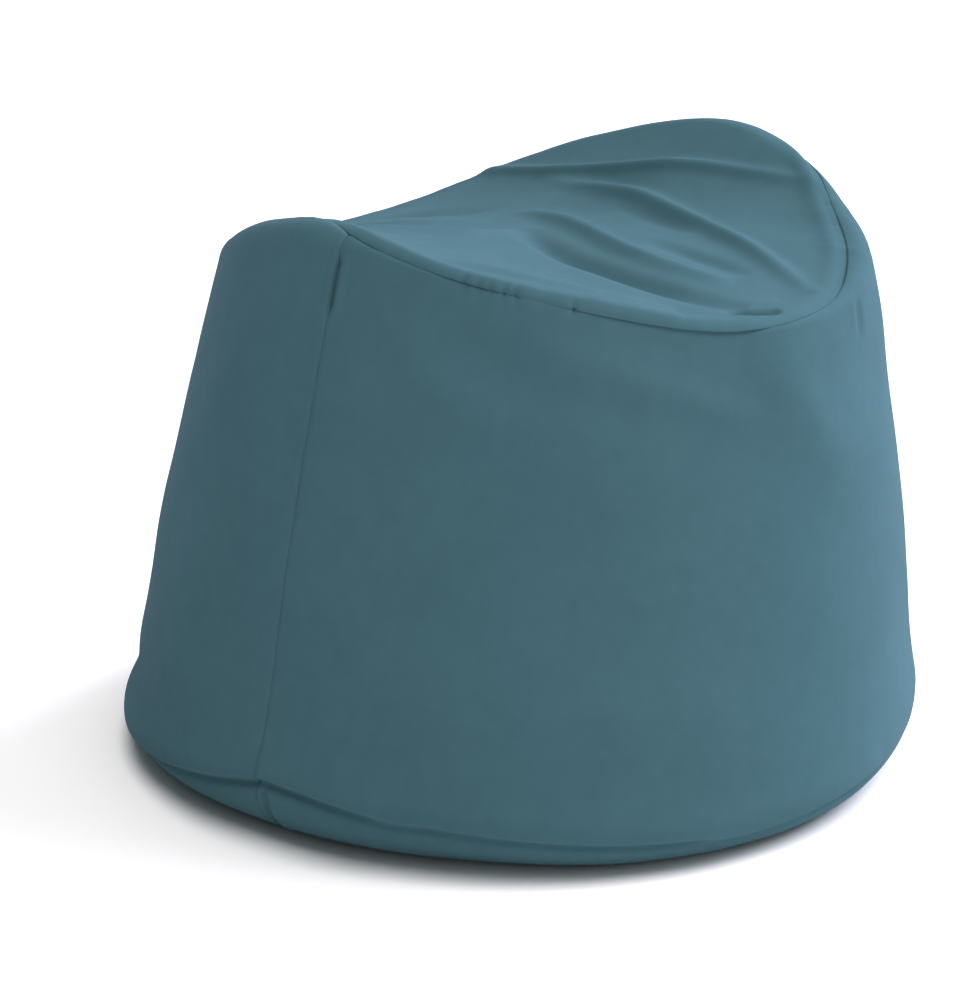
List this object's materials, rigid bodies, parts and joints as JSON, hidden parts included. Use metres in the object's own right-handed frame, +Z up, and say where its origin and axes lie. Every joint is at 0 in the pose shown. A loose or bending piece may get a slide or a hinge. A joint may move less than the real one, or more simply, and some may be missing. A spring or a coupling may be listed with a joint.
{
  "type": "bean bag chair",
  "caption": "Round tapered bean bag chair with a saddle-shaped seat between two peaks: sewn fabric cover, inner liner, loose bead fill and zips hidden under the base.",
  "frame": {"origin": "on the floor, under the middle of the base", "axes": "+Z up; X runs through the two peaks, with the higher peak at +X; the front of the seat is at -Y"},
  "size_m": [0.8256, 0.8274, 0.6064],
  "materials": {
    "cover_fabric": "matte",
    "liner_fabric": "matte",
    "zip_tape": "matte",
    "zip_teeth": "satin",
    "liner_zip_tape": "matte",
    "liner_zip_teeth": "satin",
    "zip_slider_metal": "satin",
    "bead_fill": "matte"
  },
  "bodies": {
    "bag": {"seat_panel": "cover_fabric", "front_side_panel": "cover_fabric", "rear_side_panel": "cover_fabric", "base_panel_front": "cover_fabric", "base_panel_rear": "cover_fabric", "zip_tape_front": "zip_tape", "zip_tape_rear": "zip_tape", "zip_teeth_front": "zip_teeth", "zip_teeth_rear": "zip_teeth", "zip_bottom_stop": "zip_teeth", "zip_top_stops": "zip_teeth", "liner_seat_panel": "liner_fabric", "liner_front_panel": "liner_fabric", "liner_rear_panel": "liner_fabric", "liner_base_front": "liner_fabric", "liner_base_rear": "liner_fabric", "liner_zip_tape_front": "liner_zip_tape", "liner_zip_tape_rear": "liner_zip_tape", "liner_zip_teeth_front": "liner_zip_teeth", "liner_zip_teeth_rear": "liner_zip_teeth", "liner_zip_bottom_stop": "liner_zip_teeth", "liner_zip_top_stops": "liner_zip_teeth", "bead_fill": "bead_fill"},
    "cover_slider": {"zip_slider": "zip_slider_metal"},
    "cover_pull": {"zip_pull": "zip_slider_metal"},
    "liner_slider": {"liner_zip_slider": "zip_slider_metal"}
  },
  "joints": [
    {"name": "cover_zip_open", "type": "slide", "parent": "bag", "child": "cover_slider", "axis": [-1, 0, 0], "range_m": [0, 0.411], "deforming": ["zip_teeth_front", "zip_teeth_rear"]},
    {"name": "pull_swing", "type": "hinge", "parent": "cover_slider", "child": "cover_pull", "pos_m": [0.2087, 0, 0.0022], "axis": [0, -1, 0], "range_deg": [0, 180]},
    {"name": "liner_zip_open", "type": "slide", "parent": "bag", "child": "liner_slider", "axis": [-1, 0, 0], "range_m": [0, 0.333], "deforming": ["liner_zip_teeth_front", "liner_zip_teeth_rear"]}
  ]
}
